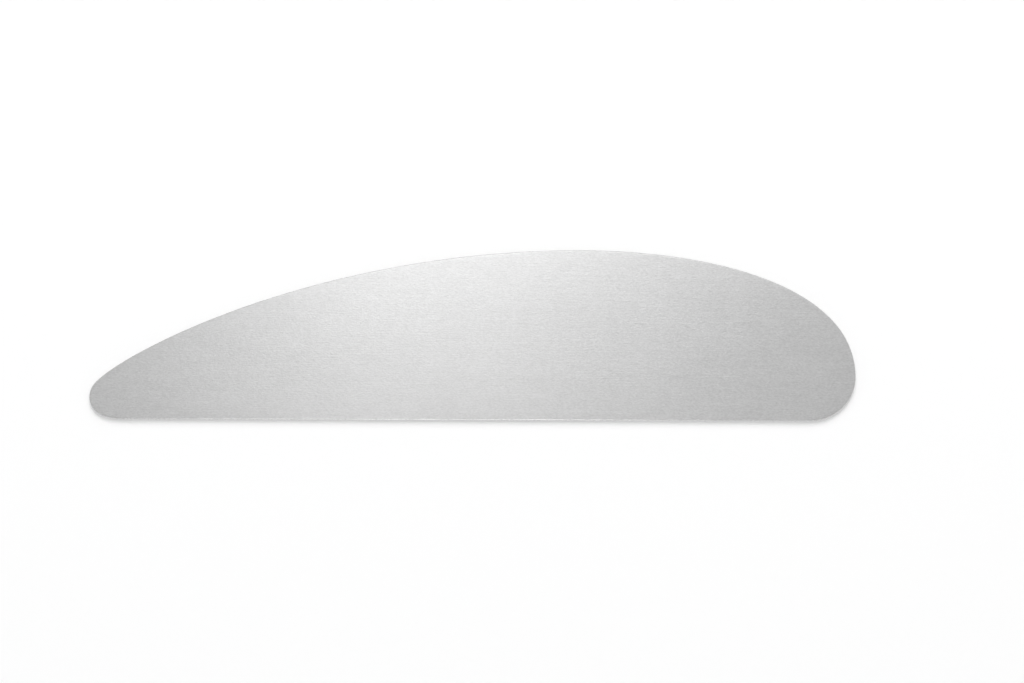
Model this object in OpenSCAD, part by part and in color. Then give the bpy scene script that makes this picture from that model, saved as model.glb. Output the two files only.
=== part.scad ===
// Pottery rib: one flat blade of sheet steel with a long straight edge, an arched back,
// a narrow round tip and a broad round heel.
// It lies flat on its underside at Z = 0, with the straight edge facing -Y, the tip at -X
// and the heel at +X. The origin is below the middle of its bounding box.

/* [Sheet] */
// Thickness of the sheet
sheet_t = 0.8; // [0.5:0.05:1.5]
// Radius of the smoothed edge, all round on both faces
edge_r = 0.2; // [0.05:0.01:0.24]

/* [Overall] */
// Length from the narrow tip to the broad heel
blade_l = 152.4; // [130:0.1:180]
// Width from the straight edge to the crown, the highest point of the back
blade_w = 35.05; // [32:0.05:42]
// Distance from the heel end to the crown
crown_in = 54.5; // [40:0.1:70]

/* [Narrow tip] */
// Radius of the end of the tip
tip_r = 4.24; // [3:0.02:5]
// Radius of the wider round between the end of the tip and the straight edge
tip_edge_r = 10.6; // [6:0.1:14]
// How far the wider round turns, in degrees
tip_edge_turn = 19.7; // [5:0.1:40]
// Slope of the back where it leaves the end of the tip, in degrees
tip_slope = 53.7; // [45:0.1:62]
// How long the back holds the tip's slope before it bends
tip_hold = 7.4; // [5:0.1:12]
// How long the back stays level from the crown towards the tip
crown_tip_hold = 53.2; // [40:0.1:60]

/* [Broad heel] */
// Radius of the round between the straight edge and the back
heel_r = 9.2; // [6:0.1:12]
// How long the back stays upright above the round before it bends
heel_hold = 18.7; // [10:0.1:20]
// How long the back stays level from the crown towards the heel
crown_heel_hold = 25.9; // [15:0.1:32]

/* [Hidden] */

// Angle between the points of a round, and between the slices of the smoothed edge
round_angle = 4.5;
edge_angle = 30;
// Points along each half of the back
heel_back_steps = 48;
tip_back_steps = 40;

// Directions in which the outline runs, counter-clockwise from the straight edge
upright = 90;
level = 180;
tip_start_dir = 180 + tip_slope;
tip_turn_dir = 360 - tip_edge_turn;

heel_centre = [blade_l / 2 - heel_r, heel_r - blade_w / 2];
crown = [blade_l / 2 - crown_in, blade_w / 2];

// The wider round of the tip starts at the straight edge, and the end's round touches it from inside
tip_r_step = tip_edge_r - tip_r;
tip_edge_centre = [tip_r - blade_l / 2 + tip_r_step * sin(tip_edge_turn), tip_edge_r - blade_w / 2];
tip_centre = on_round(tip_edge_centre, tip_r_step, tip_turn_dir);

function along(direction) = [cos(direction), sin(direction)];

// Point of a round where the outline runs in the given direction
function on_round(centre, r, direction) = centre + r * along(direction - 90);

// Arc of a round between two directions of the outline, with a point at its outermost place
function round_arc(centre, r, from, to) =
    [for (i = [ceil(from / round_angle):floor(to / round_angle)]) on_round(centre, r, i * round_angle)];

// Cubic curve that leaves a and reaches b in the given directions, and holds each one for a length.
// It starts past a, where the stretch before it ends
function blend(a, a_dir, a_hold, b, b_dir, b_hold, steps) =
    let (p = a + a_hold * along(a_dir), q = b - b_hold * along(b_dir))
    [for (i = [1:steps]) let (t = i / steps, u = 1 - t)
        u^3 * a + 3 * u^2 * t * p + 3 * u * t^2 * q + t^3 * b];

heel_end = on_round(heel_centre, heel_r, upright);
tip_start = on_round(tip_centre, tip_r, tip_start_dir);

// Counter-clockwise from the heel end of the straight edge, which closes the outline
outline = concat(
    round_arc(heel_centre, heel_r, 0, upright),
    blend(heel_end, upright, heel_hold, crown, level, crown_heel_hold, heel_back_steps),
    blend(crown, level, crown_tip_hold, tip_start, tip_start_dir, tip_hold, tip_back_steps),
    round_arc(tip_centre, tip_r, tip_start_dir, tip_turn_dir),
    round_arc(tip_edge_centre, tip_edge_r, tip_turn_dir, 360)
);

// Slice of the blade as a plate, drawn in and thinned by its place on the smoothed edge:
// at 0 degrees it has the full outline, and at 90 degrees the full thickness
module slice(angle) {
    drawn_in = edge_r * (1 - cos(angle));
    off_face = edge_r * (1 - sin(angle));
    translate([0, 0, off_face])
        linear_extrude(sheet_t - 2 * off_face)
            offset(delta = -drawn_in)
                polygon(outline);
}

module blade() {
    color("silver")
        hull()
            for (angle = [0:edge_angle:90]) slice(angle);
}

blade();
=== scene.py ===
"""Looks of the pottery rib: satin steel with a fine grain along its length, lying on a white table.

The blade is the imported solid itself. This script gives it its finish, and adds the table, the soft
studio light and the camera.
"""

import math
from typing import NamedTuple

import bpy
from mathutils import Matrix, Vector


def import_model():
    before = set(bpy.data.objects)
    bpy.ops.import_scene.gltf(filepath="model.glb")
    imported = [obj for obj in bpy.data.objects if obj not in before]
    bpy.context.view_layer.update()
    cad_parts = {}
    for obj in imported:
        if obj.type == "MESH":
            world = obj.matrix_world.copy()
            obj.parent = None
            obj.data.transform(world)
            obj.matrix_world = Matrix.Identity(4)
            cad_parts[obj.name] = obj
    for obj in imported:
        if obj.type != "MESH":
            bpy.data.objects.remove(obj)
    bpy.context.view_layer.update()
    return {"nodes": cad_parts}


MM = 0.001
WHITE = (1, 1, 1, 1)


class SoftBox(NamedTuple):
    """Rectangular lamp: its place, the point it faces and its size in metres, and its power in watts."""

    place: tuple
    aim: tuple
    size: tuple
    power: float


class Grain(NamedTuple):
    """Noise drawn out along the blade: how long and wide its features are in metres, how many finer
    layers it has, and how much it varies the steel's shade, roughness and height."""

    length: float
    width: float
    layers: int
    shade: float
    roughness: float = 0.0
    height: float = 0.0


# Camera that frames the object as the photograph does: the point it looks at, how far away it stands,
# how high it stands above the horizon, how it is rolled, its lens, and how far it sees in metres
CAMERA_AIM = Vector((7.80, -1.31, 0.4)) * MM
CAMERA_DISTANCE = 1.134
CAMERA_ELEVATION_DEG = 75.4
CAMERA_ROLL_DEG = 0.17
CAMERA_LENS_MM = 200
CAMERA_REACH = 10

# Soft boxes near the blade, which light only what mirrors them
STEEL_SOFT_BOXES = {
    "broad_softbox": SoftBox(
        place=(0.010, 0.112, 0.14), aim=(0.010, 0.065, 0), size=(0.125, 0.08), power=0.062,
    ),
    "small_softbox": SoftBox(
        place=(-0.023, 0.078, 0.26), aim=(-0.018, 0, 0), size=(0.055, 0.06), power=0.028,
    ),
    "front_softbox": SoftBox(
        place=(-0.008, -0.095, 0.09), aim=(-0.008, -0.0175, 0), size=(0.09, 0.03), power=0.050,
    ),
}
# Tall soft box that lights the table from behind, and throws the shadow in front of the blade
TABLE_SOFT_BOX = SoftBox(place=(0, 0.9, 2.3), aim=(0, 0, 2.3), size=(1.0, 3.8), power=40)

# White studio as it is seen: its level at the horizon and straight overhead, and the height, from 0 at
# the horizon to 1 overhead, at which it starts to change from the one to the other
HORIZON_LEVEL = 1.0
OVERHEAD_LEVEL = 0.67
OVERHEAD_START = 0.3
# Light that the studio gives to what mirrors nothing
STUDIO_LIGHT = 0.6

# Table: its colour, how far it is lifted to white for the camera, how bright the steel mirrors it,
# and half its width in metres
TABLE_COLOUR = (0.8, 0.8, 0.8, 1)
TABLE_LIFT = 0.18
TABLE_MIRRORED = 1.0
TABLE_HALF_SIZE = 3.0

# Middle of the steel's shade and roughness, which the grain varies
STEEL_SHADE = 0.55
STEEL_ROUGHNESS = 0.36
GRAINS = {
    "scratch": Grain(length=6 * MM, width=0.12 * MM, layers=2, shade=0.06, roughness=0.08, height=0.5),
    "speckle": Grain(length=0.5 * MM, width=0.24 * MM, layers=3, shade=0.26, roughness=0.08, height=1.0),
    "line": Grain(length=30 * MM, width=0.3 * MM, layers=1, shade=0.03),
    "mottle": Grain(length=4 * MM, width=2 * MM, layers=2, shade=0.03),
    "cloud": Grain(length=25 * MM, width=12 * MM, layers=2, shade=0.04),
}
# How strong each finer layer of the grain is against the one before it, and how deep the grain looks
GRAIN_LAYER_STRENGTH = 0.6
GRAIN_DEPTH = 0.021 * MM

# The smoothed rim is glossier than the two sides from handling and wear, and its brighter shade is a
# painted highlight
RIM_PAINTED_HIGHLIGHT = 0.02
RIM_ROUGHNESS = -0.08
# How far the surface faces up or down, from 0 to 1: on the two sides, and where it is rim in full
SIDE_FACING = 1.0
RIM_FACING = 0.7

# The solid is made of flat faces. Its points are joined where they are closer than this, and large
# faces outweigh small ones where they meet, for which 50 is even and 100 the most
JOIN_DISTANCE = 0.001 * MM
LARGE_FACE_WEIGHT = 100


class Nodes:
    """Short way to build a node tree."""

    def __init__(self, tree):
        self.tree = tree
        self.tree.nodes.clear()

    def add(self, kind, inputs, **settings):
        """Adds a node. Inputs go by name or number, and are values or the sockets that feed them."""
        node = self.tree.nodes.new(kind)
        for name, value in settings.items():
            setattr(node, name, value)
        for name, value in inputs.items():
            socket = node.inputs[name]
            if isinstance(value, bpy.types.NodeSocket):
                self.tree.links.new(value, socket)
            else:
                socket.default_value = value
        return node

    def math(self, operation, *values):
        node = self.add("ShaderNodeMath", dict(enumerate(values)), operation=operation)
        return node.outputs["Value"]

    def weighted_sum(self, start, parts):
        """Adds each value times its weight to the start. A value without weight gets no node."""
        total = start
        for value, weight in parts:
            if weight:
                total = self.math("MULTIPLY_ADD", value, weight, total)
        return total


def make_material(name):
    material = bpy.data.materials.new(name)
    material.use_nodes = True
    return material, Nodes(material.node_tree)


def grain_noise(nodes, place, name, grain):
    """Noise of that grain, which lies about 0."""
    scale = (1 / grain.length, 1 / grain.width, 1 / grain.width)
    stretched = nodes.add("ShaderNodeMapping", {"Vector": place, "Scale": scale})
    noise = nodes.add("ShaderNodeTexNoise", {
        "Vector": stretched.outputs["Vector"], "Scale": 1.0, "Detail": grain.layers,
        "Roughness": GRAIN_LAYER_STRENGTH,
    }, label=name)
    return nodes.math("SUBTRACT", noise.outputs["Fac"], 0.5)


def rim_mask(nodes, normal):
    """0 on the two flat sides, and 1 where the surface has turned away from them."""
    upward = nodes.add("ShaderNodeSeparateXYZ", {"Vector": normal}).outputs["Z"]
    mask = nodes.add("ShaderNodeMapRange", {
        "Value": nodes.math("ABSOLUTE", upward), "From Min": SIDE_FACING, "From Max": RIM_FACING,
    })
    return mask.outputs["Result"]


def steel():
    """Satin stainless steel, rubbed along its length, with a rim that is glossier from wear and carries a
    painted highlight.
    """
    material, nodes = make_material("satin_steel")
    coordinates = nodes.add("ShaderNodeTexCoord", {}).outputs
    place = coordinates["Object"]
    rim = rim_mask(nodes, coordinates["Normal"])
    noises = [(grain_noise(nodes, place, name, grain), grain) for name, grain in GRAINS.items()]
    shades = [(noise, grain.shade) for noise, grain in noises]
    roughnesses = [(noise, grain.roughness) for noise, grain in noises]
    heights = [(noise, grain.height) for noise, grain in noises]

    # The rim's share of the shade is a painted highlight along the edge
    shade = nodes.weighted_sum(STEEL_SHADE, shades + [(rim, RIM_PAINTED_HIGHLIGHT)])
    colour = nodes.add("ShaderNodeCombineColor", {"Red": shade, "Green": shade, "Blue": shade})
    roughness = nodes.weighted_sum(STEEL_ROUGHNESS, roughnesses + [(rim, RIM_ROUGHNESS)])
    height = nodes.weighted_sum(0.0, heights)
    bump = nodes.add("ShaderNodeBump", {"Strength": 1.0, "Distance": GRAIN_DEPTH, "Height": height})
    surface = nodes.add("ShaderNodeBsdfPrincipled", {
        "Metallic": 1.0, "Base Color": colour.outputs["Color"], "Roughness": roughness,
        "Normal": bump.outputs["Normal"],
    })
    nodes.add("ShaderNodeOutputMaterial", {"Surface": surface.outputs["BSDF"]})
    return material


def ray_is(nodes, kinds):
    """1 for rays of those kinds, and 0 for the others."""
    path = nodes.add("ShaderNodeLightPath", {})
    seen = path.outputs[kinds[0]]
    for other in kinds[1:]:
        seen = nodes.math("MAXIMUM", seen, path.outputs[other])
    return seen


def table_top():
    """White table. The camera sees it with the object's shadow, and the steel mirrors it as plain white."""
    material, nodes = make_material("white_table")
    lit = nodes.add("ShaderNodeBsdfDiffuse", {"Color": TABLE_COLOUR})
    lift = nodes.math("MULTIPLY", ray_is(nodes, ["Is Camera Ray"]), TABLE_LIFT)
    glow = nodes.add("ShaderNodeEmission", {"Color": WHITE, "Strength": lift})
    seen = nodes.add("ShaderNodeAddShader", {0: lit.outputs["BSDF"], 1: glow.outputs["Emission"]})
    mirrored = nodes.add("ShaderNodeEmission", {"Color": WHITE, "Strength": TABLE_MIRRORED})
    surface = nodes.add("ShaderNodeMixShader", {
        0: ray_is(nodes, ["Is Glossy Ray", "Is Transmission Ray"]),
        1: seen.outputs["Shader"], 2: mirrored.outputs["Emission"],
    })
    nodes.add("ShaderNodeOutputMaterial", {"Surface": surface.outputs["Shader"]})
    return material


def make_table():
    half = TABLE_HALF_SIZE
    mesh = bpy.data.meshes.new("table")
    corners = [(-half, -half, 0), (half, -half, 0), (half, half, 0), (-half, half, 0)]
    mesh.from_pydata(corners, [], [(0, 1, 2, 3)])
    mesh.materials.append(table_top())
    table = bpy.data.objects.new("table", mesh)
    bpy.context.scene.collection.objects.link(table)


def make_studio():
    """White surroundings, a little dimmer overhead as they are seen, and plain as light."""
    world = bpy.data.worlds.new("studio")
    bpy.context.scene.world = world
    world.use_nodes = True
    nodes = Nodes(world.node_tree)
    direction = nodes.add("ShaderNodeTexCoord", {}).outputs["Generated"]
    height = nodes.add("ShaderNodeSeparateXYZ", {"Vector": direction}).outputs["Z"]
    shown = nodes.add("ShaderNodeMapRange", {
        "Value": height, "From Min": OVERHEAD_START, "To Min": HORIZON_LEVEL, "To Max": OVERHEAD_LEVEL,
    })
    strength = nodes.add("ShaderNodeMix", {
        "Factor": ray_is(nodes, ["Is Camera Ray", "Is Glossy Ray", "Is Transmission Ray"]),
        "A": STUDIO_LIGHT, "B": shown.outputs["Result"],
    })
    sky = nodes.add("ShaderNodeBackground", {"Color": WHITE, "Strength": strength.outputs["Result"]})
    nodes.add("ShaderNodeOutputWorld", {"Surface": sky.outputs["Background"]})


def make_soft_box(name, box):
    light = bpy.data.lights.new(name, "AREA")
    light.shape = "RECTANGLE"
    light.size, light.size_y = box.size
    light.energy = box.power
    lamp = bpy.data.objects.new(name, light)
    lamp.location = box.place
    lamp.rotation_euler = (Vector(box.aim) - Vector(box.place)).to_track_quat("-Z", "Y").to_euler()
    bpy.context.scene.collection.objects.link(lamp)
    return lamp


def make_soft_boxes():
    """The small ones don't light the table, and the steel doesn't mirror the tall one."""
    for name, box in STEEL_SOFT_BOXES.items():
        make_soft_box(name, box).visible_diffuse = False
    make_soft_box("table_softbox", TABLE_SOFT_BOX).visible_glossy = False


def make_camera():
    elevation = math.radians(CAMERA_ELEVATION_DEG)
    back = Vector((0, -math.cos(elevation), math.sin(elevation)))
    right = Matrix.Rotation(math.radians(CAMERA_ROLL_DEG), 3, back) @ Vector((1, 0, 0))
    axes = Matrix((right, back.cross(right), back)).transposed()

    data = bpy.data.cameras.new("camera")
    data.lens = CAMERA_LENS_MM
    data.clip_end = CAMERA_REACH
    camera = bpy.data.objects.new("camera", data)
    camera.matrix_world = Matrix.Translation(CAMERA_AIM + back * CAMERA_DISTANCE) @ axes.to_4x4()
    bpy.context.scene.collection.objects.link(camera)
    bpy.context.scene.camera = camera


def soften_edges(blade):
    """Shades the small faces of the rim as one smooth surface, and keeps the two flat sides flat."""
    group = bpy.data.node_groups.new("smooth_rim", "GeometryNodeTree")
    group.interface.new_socket("Geometry", in_out="INPUT", socket_type="NodeSocketGeometry")
    group.interface.new_socket("Geometry", in_out="OUTPUT", socket_type="NodeSocketGeometry")
    nodes = Nodes(group)
    taken = nodes.add("NodeGroupInput", {}).outputs["Geometry"]
    merged = nodes.add("GeometryNodeMergeByDistance", {"Geometry": taken, "Distance": JOIN_DISTANCE})
    plain = nodes.add("GeometryNodeRemoveAttribute", {
        "Geometry": merged.outputs["Geometry"], "Name": "custom_normal",
    })
    smooth = nodes.add("GeometryNodeSetShadeSmooth", {"Geometry": plain.outputs["Geometry"]})
    nodes.add("NodeGroupOutput", {"Geometry": smooth.outputs["Geometry"]})
    blade.modifiers.new("smooth_rim", "NODES").node_group = group
    blade.modifiers.new("flat_sides", "WEIGHTED_NORMAL").weight = LARGE_FACE_WEIGHT


def main():
    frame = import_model()
    blade = frame["nodes"]["blade"]
    blade.material_slots[0].material = steel()
    soften_edges(blade)
    make_table()
    make_studio()
    make_soft_boxes()
    make_camera()
    bpy.context.scene.view_settings.view_transform = "Standard"


main()
